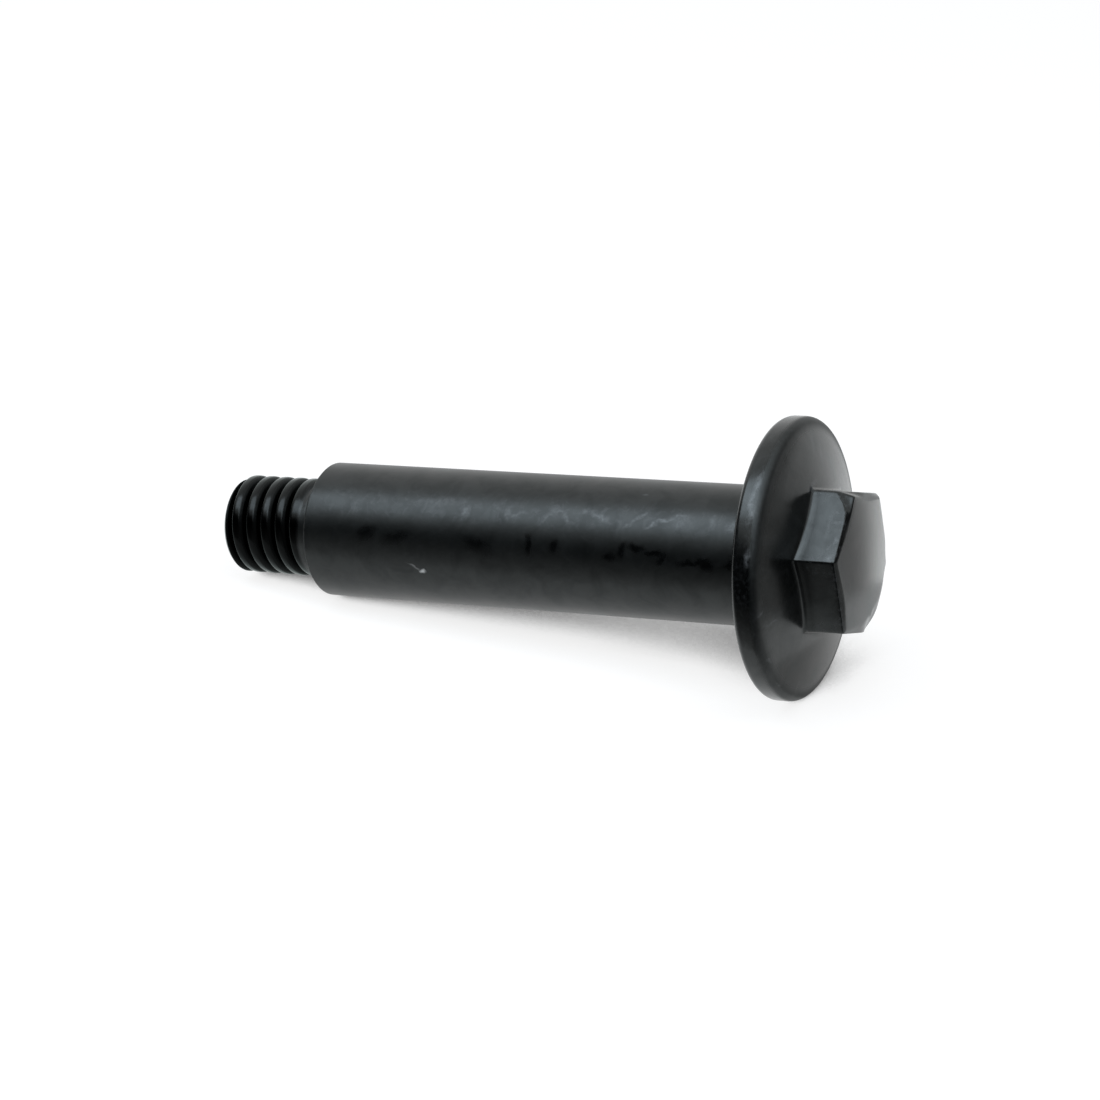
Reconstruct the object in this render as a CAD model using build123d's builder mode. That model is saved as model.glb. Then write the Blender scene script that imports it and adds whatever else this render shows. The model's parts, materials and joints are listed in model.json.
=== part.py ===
"""Shoulder bolt: a one-piece, cold-headed and turned steel bolt.

A low hexagon head stands on a wide round flange. Under the flange is a plain ground
shoulder, and beyond it a short right-hand screw thread. Millimetres and degrees.
The bolt lies as it comes to rest: on the rim of its flange and on the far edge of its
shoulder, with its head towards +X. The floor is z = 0.
"""

import os
from math import asin, atan2, ceil, cos, degrees, hypot, radians, sin, sqrt, tan

from build123d import *

# Shoulder, the plain bearing journal
shoulder_diameter = 12.7
shoulder_length = 46.0
shoulder_chamfer = 0.25
underhead_fillet = 0.5

# Flange, with a flat seat on the shoulder's side and a sloped front
flange_diameter = 25.4
rim_thickness = 2.2
seat_edge_radius = 0.6
front_edge_radius = 0.9
flange_slope = 15

# Hexagon head, with a chamfer round its corners and a low crown
across_flats = 12.4
head_height = 7.85
crown_rise = 0.3
crown_diameter = 11.2
chamfer_angle = 16
hexagon_turn = 23.4

# Thread, 16 turns to the inch
thread_diameter = 9.4
thread_pitch = 25.4 / 16
thread_length = 9.9
thread_depth = 0.85
flank_angle = 30
crest_width = 0.35
neck_length = 1.6
groove_start = 0.93
point_diameter = 7.8
point_chamfer = 0.9

# How far hidden ends run on inside the metal that covers them
burial = 1.0
# How far the groove's cutter stands out of the thread's crest
cutter_clearance = 0.1

shoulder_radius = shoulder_diameter / 2
flange_radius = flange_diameter / 2
thread_radius = thread_diameter / 2
root_radius = thread_radius - thread_depth
flat_distance = across_flats / 2
corner_distance = across_flats / sqrt(3)

# The bolt touches the floor at the flange's rounded edge and at the near corner of the
# shoulder's chamfer. The line from that corner to the centre of the edge's arc, and the
# arc's radius, give its lean.
contact_run = shoulder_length - shoulder_chamfer + seat_edge_radius
contact_rise = flange_radius - seat_edge_radius - shoulder_radius
contact_line = hypot(contact_run, contact_rise)
lean = degrees(atan2(contact_rise, contact_run) + asin(seat_edge_radius / contact_line))
lean_sin = sin(radians(lean))
lean_cos = cos(radians(lean))

# The seat's centre, over the floor by the flange's rim and set so that the bolt's ends
# are as far from the origin as each other
seat_height = seat_edge_radius * (1 - lean_sin) + (flange_radius - seat_edge_radius) * lean_cos
point_reach = (shoulder_length + thread_length) * lean_cos + point_diameter / 2 * lean_sin
crown_edge_height = head_height - crown_rise
head_reach = crown_edge_height * lean_cos + crown_diameter / 2 * lean_sin
seat_centre = Vector((point_reach - head_reach) / 2, 0, seat_height)

# Distances along the bolt are from the seat, and grow towards the head
bolt_direction = Vector(lean_cos, 0, lean_sin)
bolt_axis = Axis(seat_centre, bolt_direction)
section_plane = Plane(seat_centre, x_dir=bolt_direction, z_dir=(0, -1, 0))
head_plane = Plane(seat_centre, x_dir=(0, -1, 0), z_dir=bolt_direction)
point_end = -(shoulder_length + thread_length)
neck_end = -shoulder_length + burial
shank_end = neck_end + thread_pitch

# The thread's groove follows a right-hand helix, in half turns, from inside the shoulder
# to past the point
groove_centre = seat_centre - bolt_direction * (shoulder_length - groove_start)
half_turns = ceil(2 * (groove_start + thread_length + thread_pitch) / thread_pitch)
with BuildLine() as half_turn:
    Helix(
        pitch=thread_pitch,
        height=thread_pitch / 2,
        radius=root_radius,
        center=groove_centre,
        direction=-bolt_direction,
    )
with BuildLine() as groove_path:
    for turn in range(half_turns):
        advance = -bolt_direction * turn * thread_pitch / 2
        add(half_turn.edge().rotate(bolt_axis, 180 * turn).moved(Location(advance)))

# Its section stands in the plane of the bolt's axis, and widens outwards by the flanks
groove_foot = half_turn.edge() @ 0
outwards = groove_foot - groove_centre
groove_plane = Plane(groove_foot, x_dir=bolt_direction, z_dir=bolt_direction.cross(outwards))
mouth_depth = thread_depth + cutter_clearance
mouth_width = thread_pitch - crest_width + 2 * cutter_clearance * tan(radians(flank_angle))
floor_width = mouth_width - 2 * mouth_depth * tan(radians(flank_angle))

with BuildPart() as shoulder_bolt:
    # The hexagon is upset from the bar, and its corners are rounded off by a cone under
    # a low crown
    with BuildSketch(head_plane.offset(burial)):
        RegularPolygon(radius=flat_distance, side_count=6, major_radius=False, rotation=-hexagon_turn)
    extrude(amount=head_height)

    chamfer_foot = crown_edge_height - (corner_distance - crown_diameter / 2) * tan(radians(chamfer_angle))
    with BuildSketch(section_plane):
        with BuildLine():
            Line((0, 0), (head_height, 0))
            crown = TangentArc((head_height, 0), (crown_edge_height, crown_diameter / 2), tangent=(0, 1))
            Polyline(crown @ 1, (chamfer_foot, corner_distance), (0, corner_distance), (0, 0))
        make_face()
    revolve(axis=bolt_axis, mode=Mode.INTERSECT)

    # The shank is turned to the thread's outer size, with a chamfered point
    with BuildSketch(section_plane):
        with BuildLine():
            Polyline(
                (point_end, 0),
                (point_end, point_diameter / 2),
                (point_end + point_chamfer, thread_radius),
                (shank_end, thread_radius),
                (shank_end, 0),
                close=True,
            )
        make_face()
    revolve(axis=bolt_axis)

    # One long groove winds round the shank to past its point
    with BuildSketch(groove_plane):
        with BuildLine():
            Polyline(
                (-floor_width / 2, 0),
                (floor_width / 2, 0),
                (mouth_width / 2, mouth_depth),
                (-mouth_width / 2, mouth_depth),
                close=True,
            )
        make_face()
    sweep(path=groove_path.wire(), is_frenet=True, mode=Mode.SUBTRACT)

    # Neck, shoulder and flange are one turned outline, which closes over the groove's
    # buried end and the hexagon's foot
    front_foot = rim_thickness + (flange_radius - flat_distance) * tan(radians(flange_slope))
    with BuildSketch(section_plane):
        with BuildLine():
            outline = FilletPolyline(
                (shoulder_chamfer - shoulder_length, shoulder_radius),
                (0, shoulder_radius),
                (0, flange_radius),
                (rim_thickness, flange_radius),
                (front_foot, flat_distance),
                radius=(underhead_fillet, seat_edge_radius, front_edge_radius),
            )
            Polyline(
                outline @ 1,
                (front_foot, 0),
                (-shoulder_length, 0),
                (-shoulder_length, shoulder_radius - shoulder_chamfer),
                outline @ 0,
            )
        make_face()
    revolve(axis=bolt_axis)
    with BuildSketch(section_plane):
        with BuildLine():
            Polyline(
                (-shoulder_length - neck_length, 0),
                (-shoulder_length - neck_length, thread_radius),
                (neck_end, thread_radius),
                (neck_end, 0),
                close=True,
            )
        make_face()
    revolve(axis=bolt_axis)

shoulder_bolt.part.label = "shoulder_bolt"
os.makedirs("parts", exist_ok=True)
export_step(shoulder_bolt.part, "parts/shoulder_bolt.step")
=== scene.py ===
import json

import bpy
import numpy as np
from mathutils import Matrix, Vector


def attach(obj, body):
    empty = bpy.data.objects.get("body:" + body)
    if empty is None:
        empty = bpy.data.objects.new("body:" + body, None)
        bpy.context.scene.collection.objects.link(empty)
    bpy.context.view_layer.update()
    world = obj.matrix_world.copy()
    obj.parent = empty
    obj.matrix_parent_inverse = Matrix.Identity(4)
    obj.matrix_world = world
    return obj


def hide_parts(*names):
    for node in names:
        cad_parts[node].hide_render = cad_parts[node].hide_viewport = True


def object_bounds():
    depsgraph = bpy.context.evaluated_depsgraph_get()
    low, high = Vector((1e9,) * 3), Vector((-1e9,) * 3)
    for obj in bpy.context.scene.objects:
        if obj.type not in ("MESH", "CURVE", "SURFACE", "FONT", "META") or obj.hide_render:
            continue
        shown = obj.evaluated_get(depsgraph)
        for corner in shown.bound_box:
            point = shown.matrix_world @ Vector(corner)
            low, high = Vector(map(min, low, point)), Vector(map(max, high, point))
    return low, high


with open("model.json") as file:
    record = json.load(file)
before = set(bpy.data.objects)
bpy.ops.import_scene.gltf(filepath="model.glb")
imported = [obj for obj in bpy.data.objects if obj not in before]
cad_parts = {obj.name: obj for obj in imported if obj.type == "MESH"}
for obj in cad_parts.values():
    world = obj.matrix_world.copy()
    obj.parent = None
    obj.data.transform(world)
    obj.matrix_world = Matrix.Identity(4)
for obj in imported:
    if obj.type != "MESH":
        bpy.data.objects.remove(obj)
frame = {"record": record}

cad_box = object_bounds()


# Shoulder bolt: one piece of carbon steel, cold headed from bar, turned to size and thread
# rolled, so it is one closed skin wound round one axis. It lies on its flange's rim and
# on the far edge of its shoulder.
MM = 0.001
mounts = {mount["name"]: mount for mount in frame["record"]["mounts"]}
shoulder_middle = np.array(mounts["shoulder"]["pos_m"]) / MM
along = np.array(mounts["hex_drive"]["axis"])
lean = np.arctan2(along[2], along[0])
near_side = np.array([0.0, -1.0, 0.0])
upper_side = np.cross(near_side, along)
seat_offset = np.array(mounts["flange_seat"]["pos_m"]) / MM - shoulder_middle
seat_centre = shoulder_middle + along * np.dot(seat_offset, along)

# Distances are in millimetres from the flange's seat, and grow towards the head. Angles
# grow from the near side over the top. The columns crowd towards the hexagon's corners.
column_count = 288
corner_angle = np.radians(23.4)
crowding = 0.6
sixths = 6 * np.arange(column_count) / column_count
girth = corner_angle + np.pi / 3 * (sixths - crowding * np.sin(2 * np.pi * sixths) / (2 * np.pi))


def stack(*blocks):
    """Rows of the skin, one array of distances along the bolt and one of radii, with a
    row for each station and a column for each angle. A single column is spread round."""
    distances = [np.broadcast_to(block[0], (len(block[0]), column_count)) for block in blocks]
    radii = [np.broadcast_to(block[1], (len(block[1]), column_count)) for block in blocks]
    return np.vstack(distances), np.vstack(radii)


# Threaded end: a right-hand 60 degree thread, rolled into the shank, with crests that the
# rolling left round. It has a chamfered flat point and fades out in a short neck.
shoulder_chamfer = 0.25
underhead_fillet = 0.5
shoulder_length = mounts["shoulder"]["dims"]["length_mm"] + shoulder_chamfer + underhead_fillet
shoulder_radius = mounts["shoulder"]["dims"]["r_mm"]
thread_radius = 4.7
thread_pitch = 25.4 / 16
thread_length = 9.84
thread_depth = 0.85
crest_width = 0.76
crest_camber = 0.32
crest_softness = 0.2
root_softness = 0.12
flank_slope = 1 / np.tan(np.radians(30))
first_crest = 0.58
crest_angle = np.radians(44.4)
run_out = (1.3, 1.9)
point_radius = 4.28
point_chamfer = 0.45
point_softness = 0.15
point_shares = np.array([0.02, 0.3, 0.6, 0.9])[:, None]
thread_rows = 150


def soft_min(a, b, softness):
    """The smaller of two heights, with the corner between them rounded by a parabola
    as wide as the softness."""
    lap = np.clip(0.5 + (b - a) / (2 * softness), 0, 1)
    return b + (a - b) * lap - softness * lap * (1 - lap)


def smooth_step(low, high, value):
    """0 below low and 1 above high, joined by the cubic 3t^2 - 2t^3."""
    t = np.clip((value - low) / (high - low), 0, 1)
    return t * t * (3 - 2 * t)


def groove_depth(beyond):
    """Depth of the thread's groove at a distance beyond the shoulder and at each angle. It
    grows along the flanks with the distance from the nearest crest, whose line moves one
    pitch for each turn. Near the shoulder the whole groove gets shallower as it winds."""
    turn = (girth - crest_angle) / (2 * np.pi)
    pitches = (beyond - first_crest) / thread_pitch - turn
    from_crest = np.abs(pitches - np.round(pitches)) * thread_pitch
    camber = crest_camber * np.minimum(from_crest, crest_width) ** 2
    down_flank = camber + (from_crest - crest_width / 2) * flank_slope
    groove = -soft_min(-down_flank, -camber, crest_softness)
    groove_middle = first_crest + (np.floor(pitches) + 0.5 + turn) * thread_pitch
    return soft_min(groove, thread_depth, root_softness) * smooth_step(*run_out, groove_middle)


def thread_surface(beyond):
    """Radius of the threaded end: the crests' radius less the groove's depth, and less
    near the point, where the chamfer is the smaller."""
    chamfer_slope = (thread_radius - point_radius) / point_chamfer
    chamfer = point_radius + (thread_length - beyond) * chamfer_slope
    return soft_min(thread_radius - groove_depth(beyond), chamfer, point_softness)


beyond = np.linspace(thread_length, 0, thread_rows)[:, None]
point_rings = point_shares * thread_surface(beyond[:1])
point_face = (np.full(point_shares.shape, -shoulder_length - thread_length), point_rings)
threaded_end = (-shoulder_length - beyond, thread_surface(beyond))


# Shoulder and flange: both turned. The shoulder is ground to size with its far edge just
# broken, and the flange has a flat seat, a narrow rim with rounded edges and a front that
# slopes up to the hexagon.
flange_radius = (cad_box[1].y - cad_box[0].y) / 2 / MM
rim_thickness = 2.2
seat_edge_radius = 0.6
front_edge_radius = 0.9
chamfer_edge_radius = 0.08
front_slope = np.radians(15)
front_start = flange_radius - 2.4
end_face_start = thread_radius + 0.3
row_spacing = 2.0
arc_steps = 8


def rounded_outline(corners, radii, spacing):
    """Points along a broken line whose inner corners are arcs tangent to both sides. An
    arc leaves each side at its radius times the tangent of half the turn."""
    corners = np.array(corners, float)
    ahead = np.diff(corners, axis=0)
    ahead /= np.linalg.norm(ahead, axis=1)[:, None]
    arcs = [corners[:1]]
    for corner, before, after, radius in zip(corners[1:-1], ahead[:-1], ahead[1:], radii):
        turn = np.arccos(before @ after)
        inward = (after - before * (before @ after)) / np.sin(turn)
        sweep = np.linspace(0, turn, arc_steps)[:, None]
        start = corner - before * radius * np.tan(turn / 2)
        arcs.append(start + radius * (np.sin(sweep) * before + (1 - np.cos(sweep)) * inward))
    arcs.append(corners[-1:])
    points = [arcs[0]]
    for last, coming in zip(arcs[:-1], arcs[1:]):
        gap = coming[0] - last[-1]
        steps = int(np.ceil(np.linalg.norm(gap) / spacing))
        points += [last[-1] + gap * np.arange(1, steps)[:, None] / steps, coming]
    return np.vstack(points)


def front_height(radius):
    """The flange's front rises from its rim towards the hexagon by a constant slope."""
    return rim_thickness + (flange_radius - radius) * np.tan(front_slope)


turned = rounded_outline(
    [
        (-shoulder_length, end_face_start),
        (-shoulder_length, shoulder_radius - shoulder_chamfer),
        (shoulder_chamfer - shoulder_length, shoulder_radius),
        (0, shoulder_radius),
        (0, flange_radius),
        (rim_thickness, flange_radius),
        (front_height(front_start), front_start),
    ],
    [
        chamfer_edge_radius,
        chamfer_edge_radius,
        underhead_fillet,
        seat_edge_radius,
        front_edge_radius,
    ],
    row_spacing,
)
shoulder_and_flange = (turned[:, :1], turned[:, 1:])


# Hexagon head: cold headed with the bolt. The die left its corners a little round and
# trimmed its top edge more at some corners than at others, and its top is a low crown.
head_height = 7.81
crown_fall = 0.0069
crown_tilt = 0.006
flat_distance = 12.4 / 2
corner_sharpness = 110
foot_fillet = 0.45
side_top = 7.36
top_edge_reach = 0.14
crown_edge_reach = 0.22
bevel_width = 0.66
# From the near corner round over the top: how steeply the die trimmed the top edge, and
# how wide it left the bevel
trims = np.array([0.1, 1.5, 0.3, 0.6, 0.8, 0.05])
bevel_widths = np.array([0.34, 0.42, 0.42, 1.1, 1.75, 0.4])
corner_reach = np.radians(30)
lowest_corner = corner_angle - 2 * np.pi / 3
foot_steps = 5
front_steps = 12
side_steps = 9
top_edge_steps = 7
bevel_steps = 4
crease_steps = 6
crown_steps = 14
crown_hole = 0.03


def hexagon_radius(angle):
    """Polar radius of a hexagon with slightly round corners: the distance to a flat over
    a high-power mean of the cosines of the angles to all six flats."""
    flats = corner_angle + np.pi / 6 + np.pi / 3 * np.arange(6)
    cosines = np.clip(np.cos(angle[:, None] - flats), 0, 1)
    return flat_distance / np.sum(cosines**corner_sharpness, axis=1) ** (1 / corner_sharpness)


def near_corner(angle):
    """How near each angle is to each corner: the square of the cosine of a quarter turn
    times the angle between them, as a share of the reach that a corner has."""
    corners = corner_angle + np.pi / 3 * np.arange(6)
    apart = np.abs((angle[:, None] - corners + np.pi) % (2 * np.pi) - np.pi)
    return np.cos(np.clip(apart / corner_reach, 0, 1) * np.pi / 2) ** 2


def crown_height(radius):
    """The crown falls from its middle by the square of the radius, and is tilted a little
    down towards its lowest corner, where its bevel is the widest."""
    tilt = crown_tilt * np.cos(girth - lowest_corner)
    return head_height - crown_fall * radius**2 - tilt * radius


def eased(before, corner, after, reach, steps):
    """Rows round a corner of the outline: the quadratic Bezier curve that leaves the line
    from the point before and joins the line to the point after at equal distances."""
    share = np.linspace(0, 1, steps)[:, None]
    start = corner + (before - corner) * (reach / np.linalg.norm(before - corner, axis=0))
    end = corner + (after - corner) * (reach / np.linalg.norm(after - corner, axis=0))
    ends = start[:, None] * (1 - share) ** 2 + end[:, None] * share**2
    return ends + 2 * corner[:, None] * share * (1 - share)


def between(steps):
    """Even shares of the way from one row to another, without the two rows themselves."""
    return np.linspace(0, 1, steps)[1:-1, None]


side = hexagon_radius(girth)
nearness = near_corner(girth)
trim = nearness @ trims + (1 - nearness.sum(axis=1)) * trims.min()
crease = side - bevel_width - nearness @ (bevel_widths - bevel_width)

foot_sweep = np.linspace(np.pi / 2 - front_slope, 0, foot_steps)[:, None]
foot_radius = side + foot_fillet * (1 - np.cos(foot_sweep))
foot_top = front_height(foot_radius[0]) + foot_fillet * np.sin(foot_sweep[0])
foot = (foot_top - foot_fillet * np.sin(foot_sweep), foot_radius)
front_radius = front_start + (foot_radius[0] - front_start) * between(front_steps)
front = (front_height(front_radius), front_radius)

side_foot = np.array([foot_top, side])
side_edge = np.array([side_top - trim * (side - flat_distance), side])
crown_edge = np.array([crown_height(crease), crease])
crown_inside = np.array([crown_height(crease - crown_edge_reach), crease - crown_edge_reach])
sides = side_foot[:, None] + (side_edge - side_foot)[:, None] * between(side_steps)
top_edge = eased(side_foot, side_edge, crown_edge, top_edge_reach, top_edge_steps)
bevel_crease = eased(side_edge, crown_edge, crown_inside, crown_edge_reach, crease_steps)
bevel = top_edge[:, -1:] + (bevel_crease[:, :1] - top_edge[:, -1:]) * between(bevel_steps)
crown_rings = np.linspace(1, crown_hole, crown_steps)[1:, None] * crown_inside[1]
crown = (crown_height(crown_rings), crown_rings)
hexagon_head = (foot, sides, top_edge, bevel, bevel_crease, crown)

distances, radii = stack(point_face, threaded_end, shoulder_and_flange, front, *hexagon_head)


def skin_points(distance, radius, angle):
    """Place in the row frame: the seat's centre, plus the distance along the axis, plus
    the radius turned round the axis by the angle from the near side over the top."""
    across = np.cos(angle)[..., None] * near_side + np.sin(angle)[..., None] * upper_side
    return (seat_centre + distance[..., None] * along + radius[..., None] * across) * MM


# Each ring of points is joined to the next by a ring of quads, and the two end rings are
# closed by a fan of triangles round a pole on the axis
angles = np.broadcast_to(girth, distances.shape)
ring_points = skin_points(distances, radii, angles).reshape(-1, 3)
poles = skin_points(np.array([distances[0, 0], head_height]), np.zeros(2), np.zeros(2))
column = np.arange(column_count)
following = (column + 1) % column_count
ring = np.arange(len(distances) - 1)[:, None] * column_count
next_ring = ring + column_count
quads = [ring + column, ring + following, next_ring + following, next_ring + column]
quads = np.stack(quads, axis=-1)
last_ring = next_ring[-1]
point_pole = np.full(column_count, len(ring_points))
point_fan = np.stack([following, column, point_pole], axis=-1)
crown_fan = np.stack([last_ring + column, last_ring + following, point_pole + 1], axis=-1)

skin = bpy.data.meshes.new("shoulder_bolt_skin")
faces = quads.reshape(-1, 4).tolist() + point_fan.tolist() + crown_fan.tolist()
skin.from_pydata(np.vstack([ring_points, poles]).tolist(), [], faces)
skin.polygons.foreach_set("use_smooth", np.ones(len(skin.polygons), bool))


def store(name, values):
    """Keep a value for each point of the skin, with none at the two poles."""
    attribute = skin.attributes.new(name, "FLOAT", "POINT")
    attribute.data.foreach_set("value", np.append(values.ravel(), [0, 0]).astype(np.float32))


# How deep each point lies in the thread's groove, as a share of its whole depth. It sets
# the groove's roughness and its painted shade. The shoulder's end face and chamfer are given
# the value of a shallow part of it, so they are dull and carry painted shade too.
end_face_dullness_and_shade = 0.3
depth = np.zeros(distances.shape)
thread_band = slice(len(point_shares), len(point_shares) + thread_rows)
depth[thread_band] = groove_depth(beyond) / thread_depth
behind_shoulder = distances < shoulder_chamfer - shoulder_length
off_thread = (radii > thread_radius + 1) & (radii < shoulder_radius - 0.01)
depth = np.where(behind_shoulder & off_thread, end_face_dullness_and_shade, depth)
store("groove", depth)

# How hard each edge of the head is rubbed: the flange's rim, the hexagon's corners above
# its foot, and the edge round its top
rim_wear = 0.1
corner_wear = 0.25
top_edge_wear = 0.4
on_rim = smooth_step(flange_radius - 0.7, flange_radius, radii)
above_foot = smooth_step(side_top - 2.9, side_top - 2.4, distances)
on_corners = above_foot * smooth_step(flat_distance, flat_distance + 0.8, radii)
at_side_top = smooth_step(0.5, 0, np.abs(distances - side_edge[0]))
on_top_edge = at_side_top * smooth_step(0.4, 0.1, np.abs(radii - side))
rubbed = [rim_wear * on_rim, corner_wear * on_corners, top_edge_wear * on_top_edge]
store("edge", np.maximum.reduce(rubbed))
skin.update()
bolt = bpy.data.objects.new("bolt", skin)
bpy.context.scene.collection.objects.link(bolt)


def linear(hex_colour):
    """An sRGB hex colour as linear red, green, blue and alpha."""
    srgb = np.array([int(hex_colour[i : i + 2], 16) for i in (1, 3, 5)]) / 255
    return (*np.where(srgb <= 0.04045, srgb / 12.92, ((srgb + 0.055) / 1.055) ** 2.4), 1.0)


def add(tree, kind, inputs=(), **settings):
    """A node of a kind. An input, by its name or number, is linked where it is given a
    node's output and set where it is given a value. A setting is the node's own."""
    node = tree.nodes.new("ShaderNode" + kind)
    for name, value in settings.items():
        setattr(node, name, value)
    for name, value in dict(inputs).items():
        if isinstance(value, bpy.types.NodeSocket):
            tree.links.new(value, node.inputs[name])
        else:
            node.inputs[name].default_value = value
    return node


# Black oxide over steel: a thin dark conversion coating, sealed with oil, so it reflects
# like a smooth dark varnish. The ground shoulder is satin, the headed flange and hexagon
# are glossier, and the thread is dull with oil. Its groove and underside and the shoulder's
# end face are darkened with painted shade. Handling has marked the coat, and some pale
# marks are painted glints.
black_oxide = bpy.data.materials.new("black_oxide_steel")
black_oxide.use_nodes = True
tree = black_oxide.node_tree
tree.nodes.clear()
object_place = add(tree, "TexCoord").outputs["Object"]
on_axis = {
    "Vector": object_place,
    "Location": seat_centre * MM,
    "Rotation": (0, -lean, 0),
    "Scale": (MM, MM, MM),
}
place = add(tree, "Mapping", on_axis, vector_type="TEXTURE").outputs[0]

# The shoulder unrolled, in millimetres along and round it, and a little torn by noise, so
# that no mark has a clean edge
tear_size = 0.909
tear_reach = 0.9
axes = add(tree, "SeparateXYZ", {0: place}).outputs
towards_near = add(tree, "Math", {0: axes["Y"], 1: -1.0}, operation="MULTIPLY").outputs[0]
angle_round = add(tree, "Math", {0: axes["Z"], 1: towards_near}, operation="ARCTAN2").outputs[0]
length_round = {0: angle_round, 1: shoulder_radius}
length_round = add(tree, "Math", length_round, operation="MULTIPLY").outputs[0]
unrolled = add(tree, "CombineXYZ", {"X": axes["X"], "Y": length_round}).outputs[0]
wander = {"Vector": place, "Scale": 1 / tear_size, "Detail": 3.0}
wander = add(tree, "TexNoise", wander).outputs["Color"]
centred = add(tree, "VectorMath", {0: wander, 1: (0.5, 0.5, 0.5)}, operation="SUBTRACT").outputs[0]
sway = add(tree, "VectorMath", {0: centred, "Scale": tear_reach}, operation="SCALE").outputs[0]
torn = add(tree, "VectorMath", {0: unrolled, 1: sway}, operation="ADD").outputs[0]


def strokes(marks, onto, around):
    """How strongly an unrolled surface is marked. Each mark is an ellipse, given by its
    distance along, its angle round in degrees, its length, width and turn, and its
    strength. It fades by a smooth step from its middle to half its size past its outline.
    Where marks meet, the stronger shows."""
    strongest = 0.0
    for distance, angle, length, width, turn, strength in marks:
        spot = {
            "Vector": onto,
            "Location": (distance, np.radians(angle) * around, 0),
            "Rotation": (0, 0, np.radians(turn)),
            "Scale": (length / 2, width / 2, 1),
        }
        spot = add(tree, "Mapping", spot, vector_type="TEXTURE").outputs[0]
        reach = add(tree, "VectorMath", {0: spot}, operation="LENGTH").outputs["Value"]
        fade = {"Value": reach, "From Min": 1.5, "From Max": 0.0, "To Max": strength}
        fade = add(tree, "MapRange", fade, interpolation_type="SMOOTHSTEP").outputs[0]
        strongest = add(tree, "Math", {0: strongest, 1: fade}, operation="MAXIMUM").outputs[0]
    return strongest


# Where the coat was rubbed grey, with pale painted glints among the rubs on the flange's
# rim and the hexagon's lit side, where it was burnished smooth, and where it was nicked
# down to bright steel
rubs_and_glints = strokes(
    [
        (-24.7, 47, 1.5, 0.6, 80, 0.5),
        (-23.7, 47, 1.5, 0.38, 25, 0.5),
        (-20.7, 47, 1.9, 0.38, 48, 0.5),
        (-19.5, 53, 1.6, 0.38, 10, 0.5),
        (-18.9, 47, 2.2, 0.6, -63, 0.6),
        (-16.9, 53, 1.7, 0.6, 8, 0.6),
        (-15.6, 49, 2.7, 0.6, -24, 0.7),
        (-12.4, 45, 1.6, 0.38, 31, 0.8),
        (-11.6, 51, 1.6, 0.38, 50, 0.9),
        (-10.2, 45, 1.6, 0.38, 30, 0.9),
        (-9.2, 49, 1.9, 0.38, 14, 1.0),
        (-8.0, 53, 2.0, 0.38, 10, 0.8),
        (-7.4, 49, 2.2, 1.6, 0, 0.5),
        (-7.0, 50, 1.7, 0.38, -52, 0.5),
        (-4.7, 50, 1.4, 0.8, 90, 0.7),
        (-2.9, 47, 1.4, 0.9, 60, 0.9),
        (-29.1, 45, 1.5, 0.8, 80, 0.7),
        (-32.0, 54, 5.0, 0.9, 6, 0.4),
        (-12.0, 74, 0.7, 0.38, 0, 0.5),
        # On the rim and the hexagon's side: rubs that are also painted glints in the lamp's
        # highlight
        (1.4, 50, 2.2, 0.5, 80, 1.0),
        (1.3, 44, 1.6, 0.6, 90, 1.0),
        (1.5, 41, 0.9, 0.4, 60, 1.0),
        (1.5, 24, 0.9, 0.45, 80, 1.0),
        (7.1, 41, 0.7, 0.35, 90, 0.9),
        (6.8, 27, 0.8, 0.5, 30, 1.0),
        (6.6, 35, 0.8, 0.3, 50, 0.6),
        (6.8, 57, 1.0, 0.3, 5, 0.5),
        (6.1, 54, 2.6, 0.3, 85, 0.35),
        (6.5, 66, 0.9, 0.3, -10, 0.35),
    ],
    torn,
    shoulder_radius,
)
burnished = strokes(
    [
        (-22.3, 21, 2.4, 0.6, 90, 1.0),
        (-19.7, 22, 1.3, 0.9, 60, 0.8),
        (-14.2, 16, 1.3, 0.9, 20, 1.0),
        (-13.0, 22, 1.7, 0.9, 70, 1.0),
        (-11.6, 25, 1.8, 0.7, -10, 1.0),
        (-9.8, 21, 2.0, 0.6, 5, 1.0),
        (-9.1, 17, 1.6, 0.6, 60, 1.0),
        (-6.0, 16, 3.4, 0.6, 8, 1.0),
        (-4.8, 14, 1.4, 1.0, 0, 1.0),
        (-2.6, 16, 1.2, 0.8, 0, 0.8),
        (-39.2, 22, 2.6, 1.5, 30, 0.8),
        (-36.2, 19, 3.4, 1.2, 20, 0.8),
        (-27.4, 17, 3.4, 1.5, -25, 0.8),
    ],
    torn,
    shoulder_radius,
)
nick = strokes(
    [
        (-33.4, -7, 0.62, 0.5, 0, 1.0),
        (-34.2, -4, 1.4, 0.28, -25, 0.2),
    ],
    torn,
    shoulder_radius,
)

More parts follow.
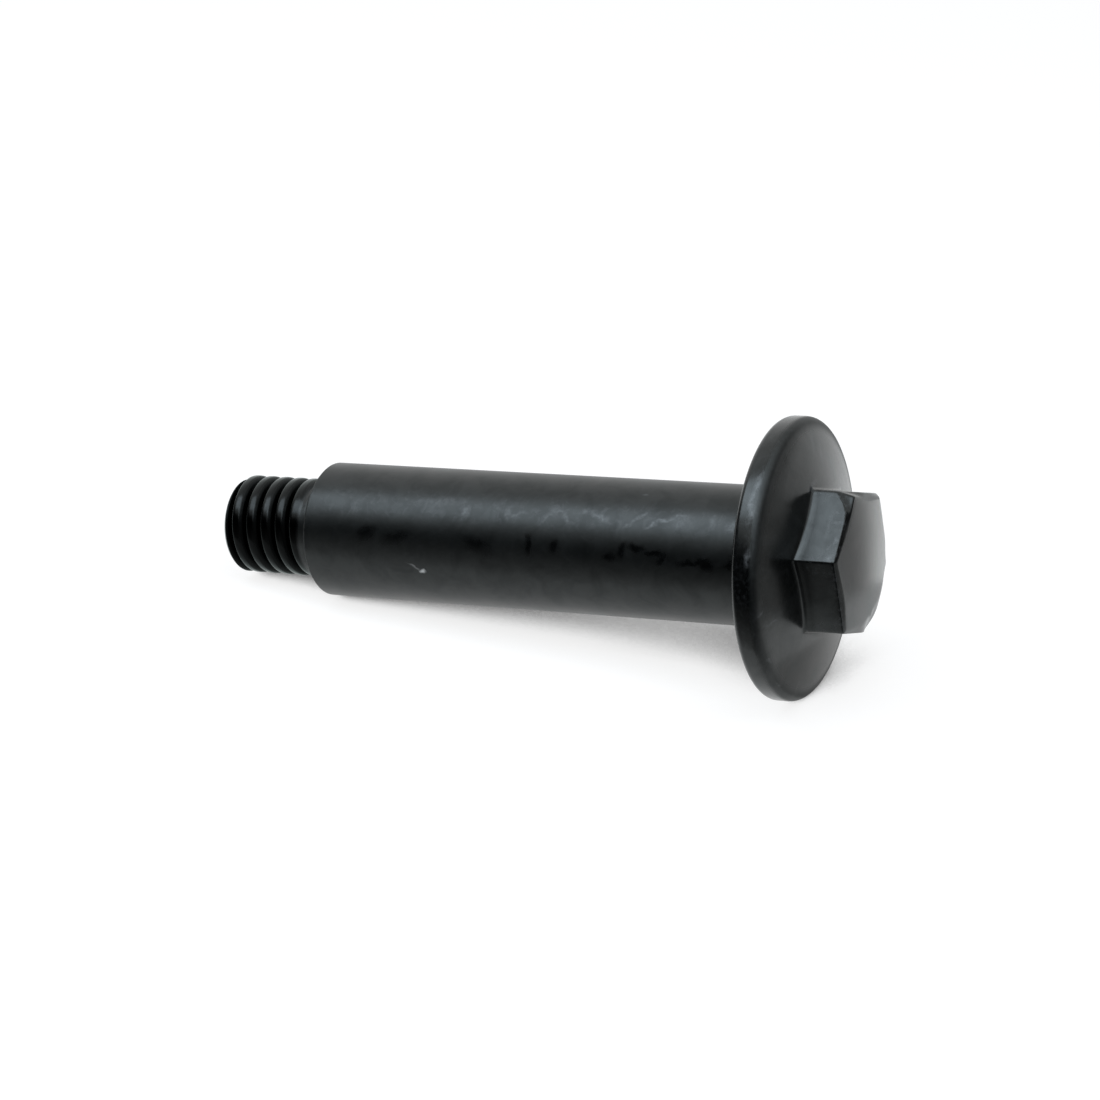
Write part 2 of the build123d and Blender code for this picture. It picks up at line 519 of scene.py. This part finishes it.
# The flange's front unrolled, by its radius and the length round its middle, and the pale
# smears across it, with a painted highlight along the hexagon's foot fillet
front_middle = 10.0
squares = add(tree, "VectorMath", {0: place, 1: (0, 1, 1)}, operation="MULTIPLY").outputs[0]
outward = add(tree, "VectorMath", {0: squares}, operation="LENGTH").outputs["Value"]
front_round = add(tree, "Math", {0: angle_round, 1: front_middle}, operation="MULTIPLY").outputs[0]
spread = add(tree, "CombineXYZ", {"X": outward, "Y": front_round}).outputs[0]
torn_front = add(tree, "VectorMath", {0: spread, 1: sway}, operation="ADD").outputs[0]
smears_and_fillet_glint = strokes(
    [
        (10.6, -7, 2.2, 0.3, 8, 0.5),
        (11.9, 0, 1.2, 0.3, -20, 0.6),
        (12.1, -23, 1.0, 0.35, 60, 0.8),
        (12.4, -39, 1.2, 0.4, 75, 0.9),
        (11.0, -60, 1.4, 0.3, 30, 0.5),
        (8.9, 128, 1.2, 1.4, 0, 0.5),
        (9.4, 112, 2.6, 0.5, 10, 0.5),
        (8.6, 120, 2.2, 0.5, -15, 0.5),
        (10.6, 104, 2.4, 0.6, 20, 0.4),
        # A painted highlight along the top of the hexagon's foot fillet
        (7.4, 86, 0.5, 3.2, 0, 0.7),
    ],
    torn_front,
    front_middle,
)
on_front = {"Value": axes["X"], "From Min": rim_thickness, "From Max": rim_thickness + 0.1}
on_front = add(tree, "MapRange", on_front).outputs[0]
smears_and_fillet_glint = add(tree, "Math", {0: smears_and_fillet_glint, 1: on_front}, operation="MULTIPLY").outputs[0]
rubs_and_glints = add(tree, "Math", {0: rubs_and_glints, 1: smears_and_fillet_glint}, operation="MAXIMUM").outputs[0]

# Roughness: the finish varies in soft patches and in a fine grain, and the flange's front
# edge is blunt
patch_size = 2.86
grain_size = 0.385
patches = {"Vector": place, "Scale": 1 / patch_size, "Detail": 4.0}
patches = add(tree, "TexNoise", patches).outputs[0]
grain = {"Vector": place, "Scale": 1 / grain_size, "Detail": 3.0}
grain = add(tree, "TexNoise", grain).outputs[0]
on_head = add(tree, "MapRange", {"Value": axes["X"], "From Min": -0.3, "From Max": 0.3}).outputs[0]
satin = add(tree, "MapRange", {"Value": patches, "To Min": 0.3, "To Max": 0.42}).outputs[0]
gloss = add(tree, "MapRange", {"Value": grain, "To Min": 0.16, "To Max": 0.28}).outputs[0]
roughness = add(tree, "Mix", {"Factor": on_head, "A": satin, "B": gloss}).outputs[0]
front_edge = {
    "Value": axes["X"],
    "From Min": rim_thickness - 0.6,
    "From Max": rim_thickness - 0.2,
}
front_edge = add(tree, "MapRange", front_edge, interpolation_type="SMOOTHSTEP").outputs[0]
past_edge = {
    "Value": axes["X"],
    "From Min": rim_thickness + 0.4,
    "From Max": rim_thickness + 0.1,
}
past_edge = add(tree, "MapRange", past_edge, interpolation_type="SMOOTHSTEP").outputs[0]
front_edge = add(tree, "Math", {0: front_edge, 1: past_edge}, operation="MULTIPLY").outputs[0]
roughness = add(tree, "Mix", {"Factor": front_edge, "A": roughness, "B": 0.5}).outputs[0]
roughness = add(tree, "Mix", {"Factor": burnished, "A": roughness, "B": 0.12}).outputs[0]

# The rolled crests of the thread are smooth, and its groove is dull
thread_start = -shoulder_length - run_out[0]
on_thread = {"Value": axes["X"], "From Min": thread_start, "From Max": thread_start - 0.4}
on_thread = add(tree, "MapRange", on_thread).outputs[0]
roughness = add(tree, "Mix", {"Factor": on_thread, "A": roughness, "B": 0.2}).outputs[0]
groove = add(tree, "Attribute", attribute_name="groove").outputs["Fac"]
dull = add(tree, "MapRange", {"Value": groove, "From Min": 0.04, "From Max": 0.3}).outputs[0]
roughness = add(tree, "Mix", {"Factor": dull, "A": roughness, "B": 0.6}).outputs[0]

# Wear and painted glints: worn edges show in specks, rubs and glints are mottled by the
# grain, and fine scuffs lie over the head and, stronger, in a band along the shoulder's
# lit side, where they are painted glints in the lamp's highlight
scuff_size = 1.25
band_middle = np.radians(50) * shoulder_radius
edge = add(tree, "Attribute", attribute_name="edge").outputs["Fac"]
specks = add(tree, "MapRange", {"Value": grain, "From Min": 0.5, "From Max": 0.72}).outputs[0]
wear_and_glints = add(tree, "Math", {0: edge, 1: specks}, operation="MULTIPLY").outputs[0]
mottle = {"Value": grain, "From Min": 0.36, "From Max": 0.62, "To Min": 0.3}
mottle = add(tree, "MapRange", mottle).outputs[0]
mottled = add(tree, "Math", {0: rubs_and_glints, 1: mottle}, operation="MULTIPLY").outputs[0]
wear_and_glints = add(tree, "Math", {0: wear_and_glints, 1: mottled}, operation="MAXIMUM").outputs[0]
scuffs = {
    "Vector": torn,
    "Scale": 1 / scuff_size,
    "Detail": 6.0,
    "Roughness": 0.62,
    "Distortion": 0.8,
}
scuffs = add(tree, "TexNoise", scuffs).outputs[0]
scuffs = {"Value": scuffs, "From Min": 0.5, "From Max": 0.74, "To Max": 0.3}
scuffs = add(tree, "MapRange", scuffs).outputs[0]
off_band = add(tree, "Math", {0: length_round, 1: band_middle}, operation="SUBTRACT").outputs[0]
off_band = add(tree, "Math", {0: off_band}, operation="ABSOLUTE").outputs[0]
# Painted glints: the scuffs are stronger in a band along the shoulder's lit side
lit_band_glints = {"Value": off_band, "From Min": 1.9, "From Max": 0.7, "To Min": 0.15}
lit_band_glints = add(tree, "MapRange", lit_band_glints, interpolation_type="SMOOTHSTEP").outputs[0]
lit_band_glints = add(tree, "Mix", {"Factor": on_head, "A": lit_band_glints, "B": 0.35}).outputs[0]
scuffs = add(tree, "Math", {0: scuffs, 1: lit_band_glints}, operation="MULTIPLY").outputs[0]
wear_and_glints = add(tree, "Math", {0: wear_and_glints, 1: scuffs}, operation="ADD", use_clamp=True).outputs[0]

# The thicker blotches of the coat, the thread's oil and painted shade reflect less than the
# rest: a black metallic share takes its part of the reflection away. It is least on the
# thread's lit crests, more on their underside as painted shade, and whole in the groove as
# painted shade in the recess.
blotch_size = 2.22
lit_above = 3.1
dark_below = 1.8
# Painted shade: the thread's crests get darker towards their underside
oil_and_underside_shade = {
    "Value": axes["Z"],
    "From Min": lit_above,
    "From Max": dark_below,
    "To Min": 0.54,
    "To Max": 0.84,
}
oil_and_underside_shade = add(tree, "MapRange", oil_and_underside_shade, interpolation_type="SMOOTHSTEP").outputs[0]
crest_oil_and_shade = add(tree, "Math", {0: on_thread, 1: oil_and_underside_shade}, operation="MULTIPLY").outputs[0]
# Painted shade in the thread's groove, darker the deeper it lies
groove_shade = add(tree, "MapRange", {"Value": groove, "From Min": 0.15, "From Max": 0.5}).outputs[0]
oil_and_painted_shade = add(tree, "Math", {0: groove_shade, 1: crest_oil_and_shade}, operation="MAXIMUM").outputs[0]
blotches = {
    "Vector": place,
    "Scale": 1 / blotch_size,
    "Detail": 7.0,
    "Roughness": 0.6,
    "Distortion": 0.6,
}
blotches = add(tree, "TexNoise", blotches).outputs[0]
blotches = {"Value": blotches, "From Min": 0.42, "From Max": 0.68, "To Max": 0.26}
blotches = add(tree, "MapRange", blotches).outputs[0]
blotches_oil_and_shade = add(tree, "Math", {0: oil_and_painted_shade, 1: blotches}, operation="MAXIMUM").outputs[0]

# The coat's own black, then grey where it is worn or painted with glints, bright steel in
# the nick, and near-black painted shade and oil on the thread
oxide = {"Fac": patches, "Color1": linear("#050606"), "Color2": linear("#0a0b0b")}
oxide = add(tree, "MixRGB", oxide).outputs[0]
grey = {"Fac": wear_and_glints, "Color1": oxide, "Color2": linear("#505253")}
grey = add(tree, "MixRGB", grey).outputs[0]
bare = {"Fac": nick, "Color1": grey, "Color2": linear("#e6e6e4")}
bare = add(tree, "MixRGB", bare).outputs[0]
dark = {"Fac": oil_and_painted_shade, "Color1": bare, "Color2": linear("#010101")}
dark = add(tree, "MixRGB", dark).outputs[0]
coat = {
    "Base Color": dark,
    "Roughness": roughness,
    "Metallic": blotches_oil_and_shade,
    "IOR": 1.45,
    "Specular Tint": linear("#f6fffe"),
}
coat = add(tree, "BsdfPrincipled", coat)
add(tree, "OutputMaterial", {"Surface": coat.outputs[0]})
skin.materials.append(black_oxide)
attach(bolt, "root")
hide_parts("shoulder_bolt")


# Floor: a wide sheet of matt white card, which keeps the bolt's shadow. Its white is a
# glow that lights nothing, and that fades where the bolt shuts out the light from the front.
floor_reach = 2.0
floor_corners = np.array([(-1, -1, 0), (1, -1, 0), (1, 1, 0), (-1, 1, 0)]) * floor_reach
floor_mesh = bpy.data.meshes.new("floor_card")
floor_mesh.from_pydata(floor_corners.tolist(), [], [(0, 1, 2, 3)])
floor = bpy.data.objects.new("floor", floor_mesh)
bpy.context.scene.collection.objects.link(floor)


def backdrop_share(tree, strength):
    """A strength for camera, glossy and transmission rays only."""
    rays = add(tree, "LightPath").outputs
    seen = {0: rays["Is Camera Ray"], 1: rays["Is Glossy Ray"]}
    seen = add(tree, "Math", seen, operation="ADD").outputs[0]
    seen = {0: seen, 1: rays["Is Transmission Ray"]}
    seen = add(tree, "Math", seen, operation="ADD", use_clamp=True).outputs[0]
    return add(tree, "Math", {0: seen, 1: strength}, operation="MULTIPLY").outputs[0]


white_card = bpy.data.materials.new("white_card")
white_card.use_nodes = True
tree = white_card.node_tree
tree.nodes.clear()
matt = add(tree, "BsdfDiffuse", {"Color": linear("#807f7d")}).outputs[0]
open_tilt = np.radians(60)
shadow_reach = 0.1
full_shadow = 0.41
no_shadow = 0.63
glow_strength = 0.85
toward_front = {"Y": -np.sin(open_tilt), "Z": np.cos(open_tilt)}
toward_front = add(tree, "CombineXYZ", toward_front).outputs[0]
openness = {"Distance": shadow_reach, "Normal": toward_front}
openness = add(tree, "AmbientOcclusion", openness).outputs["AO"]
lift = {
    "Value": openness,
    "From Min": full_shadow,
    "From Max": no_shadow,
    "To Max": glow_strength,
}
lift = add(tree, "MapRange", lift).outputs[0]
glow = add(tree, "Emission", {"Strength": backdrop_share(tree, lift)}).outputs[0]
lit_card = add(tree, "AddShader", {0: matt, 1: glow}).outputs[0]
add(tree, "OutputMaterial", {"Surface": lit_card})
floor_mesh.materials.append(white_card)


# Studio: one large softbox overhead and white surroundings. Low cards round the bolt, which
# only its reflections show, darken the front and the horizon, and shade and light its head.
lamp_width = 1.0
lamp_depth = 0.3
lamp_radiance = 3.5
lamp_distance = 0.5
lamp_elevation = np.radians(71)
lamp_data = bpy.data.lights.new("softbox", "AREA")
lamp_data.shape = "RECTANGLE"
lamp_data.size = lamp_width
lamp_data.size_y = lamp_depth
lamp_data.energy = lamp_radiance * np.pi * lamp_width * lamp_depth
lamp_data.color = (0.9, 1.0, 1.12)
softbox = bpy.data.objects.new("softbox", lamp_data)
bpy.context.scene.collection.objects.link(softbox)
lamp_place = Vector((0, -np.cos(lamp_elevation), np.sin(lamp_elevation))) * lamp_distance
softbox.location = lamp_place
softbox.rotation_euler = lamp_place.to_track_quat("Z", "Y").to_euler()

sky_light = 0.24
sky_white = 1.0
world = bpy.data.worlds.new("studio")
bpy.context.scene.world = world
world.use_nodes = True
tree = world.node_tree
tree.nodes.clear()
seen_more = backdrop_share(tree, sky_white - sky_light)
sky_level = add(tree, "Math", {0: seen_more, 1: sky_light}, operation="ADD").outputs[0]
sky = add(tree, "Background", {"Color": linear("#ffffff"), "Strength": sky_level}).outputs[0]
add(tree, "OutputWorld", {"Surface": sky})


def card(name, near_line, far_line, near_levels, far_levels):
    """A card between two lines of points, which only reflections show. Its level changes
    evenly between the levels of its points."""
    mesh = bpy.data.meshes.new(name)
    count = len(near_line)
    strip = [(i, i + 1, count + i + 1, count + i) for i in range(count - 1)]
    mesh.from_pydata((np.vstack([near_line, far_line]) * MM).tolist(), [], strip)
    levels = np.concatenate([near_levels * np.ones(count), far_levels * np.ones(count)])
    shown = mesh.attributes.new("level", "FLOAT", "POINT")
    shown.data.foreach_set("value", levels.astype(np.float32))
    stand = bpy.data.objects.new(name, mesh)
    bpy.context.scene.collection.objects.link(stand)
    sheet = bpy.data.materials.new(name + "_sheet")
    sheet.use_nodes = True
    tree = sheet.node_tree
    tree.nodes.clear()
    level = add(tree, "Attribute", attribute_name="level").outputs["Fac"]
    shade = add(tree, "Emission", {"Strength": level}).outputs[0]
    add(tree, "OutputMaterial", {"Surface": shade})
    mesh.materials.append(sheet)
    stand.visible_camera = False
    stand.visible_diffuse = False
    stand.visible_shadow = False
    stand.visible_transmission = False


def arc(middle, radius, degrees_round, height):
    """Points on a level arc round a middle, at angles from +X towards +Y in degrees."""
    azimuths = np.radians(degrees_round)
    across = [middle[0] + radius * np.cos(azimuths), middle[1] + radius * np.sin(azimuths)]
    return np.column_stack([*across, np.full(len(azimuths), float(height))])


# A dark card stands close in front, with a foot that fades up from grey to black
card_stand = 0.5
foot_rise = np.array([0, 0, 12.5])
card_rise = np.array([0, 0, 20.5])
front_line = np.array([(-80, -18.5), (-36, -18.5), (-30, -18.5), (22, -18.5), (30, -17), (48, -14)])
front_line = np.column_stack([front_line, np.full(len(front_line), card_stand)])
foot_levels = np.array([0.25, 0.25, 0.62, 0.62, 0.16, 0.07])
card("front_card_foot", front_line, front_line + foot_rise, foot_levels, 0.0)
card("front_card", front_line + foot_rise, front_line + card_rise, 0.0, 0.0)

# A dark wall stands far off in front and at both sides, and is open behind
wall_radius = 1000
wall_start = 30
wall_height = 620
wall_level = 0.08
wall_angles = np.linspace(-190, 60, 26)
wall_foot = arc((0, 0), wall_radius, wall_angles, wall_start)
wall_top = arc((0, 0), wall_radius, wall_angles, wall_height)
card("far_wall", wall_foot, wall_top, wall_level, wall_level)

# A bright fan lies on the floor behind the head and brightens its crown towards the right
bounce_middle = (32, 0)
bounce_start = 26
bounce_height = 0.3
bounce_angles = [50, 56, 60, 64, 68, 74, 84]
bounce_reach = np.array([85, 85, 85, 85, 80, 66, 58])
bounce_levels = np.array([0.5, 0.5, 0.5, 0.6, 1.1, 2.1, 2.3])
bounce_near = arc(bounce_middle, bounce_start, bounce_angles, bounce_height)
bounce_far = arc(bounce_middle, bounce_reach, bounce_angles, bounce_height)
card("bounce_card", bounce_near, bounce_far, bounce_levels, bounce_levels)

# A shade lies on the floor under the head and darkens the lower part of the flange's front
shade_middle = (24, 0)
shade_start = 0.5
shade_reach = 13
shade_height = 0.15
shade_angles = [-40, 0, 60, 100]
shade_near = arc(shade_middle, shade_start, shade_angles, shade_height)
shade_far = arc(shade_middle, shade_reach, shade_angles, shade_height)
card("shade_card", shade_near, shade_far, 0.42, 0.6)

# A grey sheet past the head darkens the flange's front beside the hexagon
grey_middle = (28, -10)
grey_start = 32
grey_reach = 900
grey_height = 0.2
grey_angles = [-10, 34, 46]
grey_levels = np.array([0.42, 0.42, 0.6])
grey_near = arc(grey_middle, grey_start, grey_angles, grey_height)
grey_far = arc(grey_middle, grey_reach, grey_angles, grey_height)
card("grey_card", grey_near, grey_far, grey_levels, grey_levels)


# Camera: from the near side, a little from the head's end and from above, through a long
# lens and aimed just under the middle of the shoulder
camera_data = bpy.data.cameras.new("camera")
camera_data.sensor_width = 36
camera_data.lens = 93.76
camera_data.clip_start = 0.01
camera = bpy.data.objects.new("camera", camera_data)
bpy.context.scene.collection.objects.link(camera)
azimuth = np.radians(24.833)
elevation = np.radians(25.931)
camera_distance = 265.4
aim_drop = 0.77
aim = shoulder_middle - np.array([0, 0, aim_drop])
level_part = np.cos(elevation)
toward_camera = np.array(
    [np.sin(azimuth) * level_part, -np.cos(azimuth) * level_part, np.sin(elevation)]
)
camera.location = (aim + toward_camera * camera_distance) * MM
camera.rotation_euler = Vector(toward_camera).to_track_quat("Z", "Y").to_euler()
bpy.context.scene.camera = camera
bpy.context.scene.view_settings.view_transform = "Standard"
